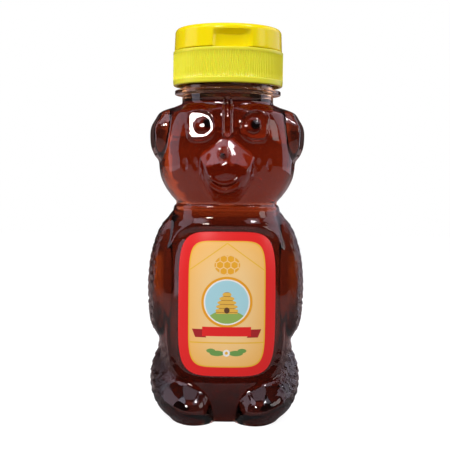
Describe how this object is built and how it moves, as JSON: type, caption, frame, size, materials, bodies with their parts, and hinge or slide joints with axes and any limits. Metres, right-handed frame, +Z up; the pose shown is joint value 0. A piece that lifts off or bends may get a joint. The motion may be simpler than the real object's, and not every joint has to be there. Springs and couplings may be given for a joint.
{
  "type": "jar of honey",
  "caption": "Clear bear-shaped squeeze bottle filled with dark honey, with a ribbed screw cap base, a hinged flip lid with a thumb recess, and a label on the belly.",
  "frame": {"origin": "on the base, at the middle of the part's box in plan, on the surface that the bottle stands on", "axes": "+Z up along the bottle, +Y towards the back of the bear where the lid's hinge is, +X to the right of someone who faces the bear; the bear looks along -Y"},
  "size_m": [0.0592, 0.0488, 0.1455],
  "materials": {
    "clear_pet": "clear, glossy blown PET",
    "honey": "dark amber liquid, held still as a solid",
    "label_paper": "printed film with a soft gloss",
    "seal_foil": "foil-faced foam disc",
    "cap_yellow": "moulded polypropylene, satin",
    "lid_yellow": "moulded polypropylene, satin"
  },
  "bodies": {
    "bottle": {"bottle": "clear_pet", "honey": "honey", "front_label": "label_paper"},
    "seal": {"inner_seal": "seal_foil"},
    "cap": {"cap_base": "cap_yellow", "living_hinge": "cap_yellow"},
    "lid": {"flip_lid": "lid_yellow"}
  },
  "joints": [
    {"name": "cap_turn", "type": "hinge", "parent": "bottle", "child": "seal", "pos_m": [0, 0.00339, 0.135], "axis": [0, 0, 1], "range_deg": [0, 1116]},
    {"name": "cap_lift", "type": "slide", "parent": "seal", "child": "cap", "axis": [0, 0, 1], "range_m": [0, 0.0132]},
    {"name": "lid_flip", "type": "hinge", "parent": "cap", "child": "lid", "pos_m": [0, 0.02282, 0.13695], "axis": [-1, 0, 0], "range_deg": [0, 150], "deforming": ["living_hinge"]}
  ],
  "couplings": [
    {"joint": "cap_lift", "follows": "cap_turn", "m_per_rad": 0.00067374}
  ]
}
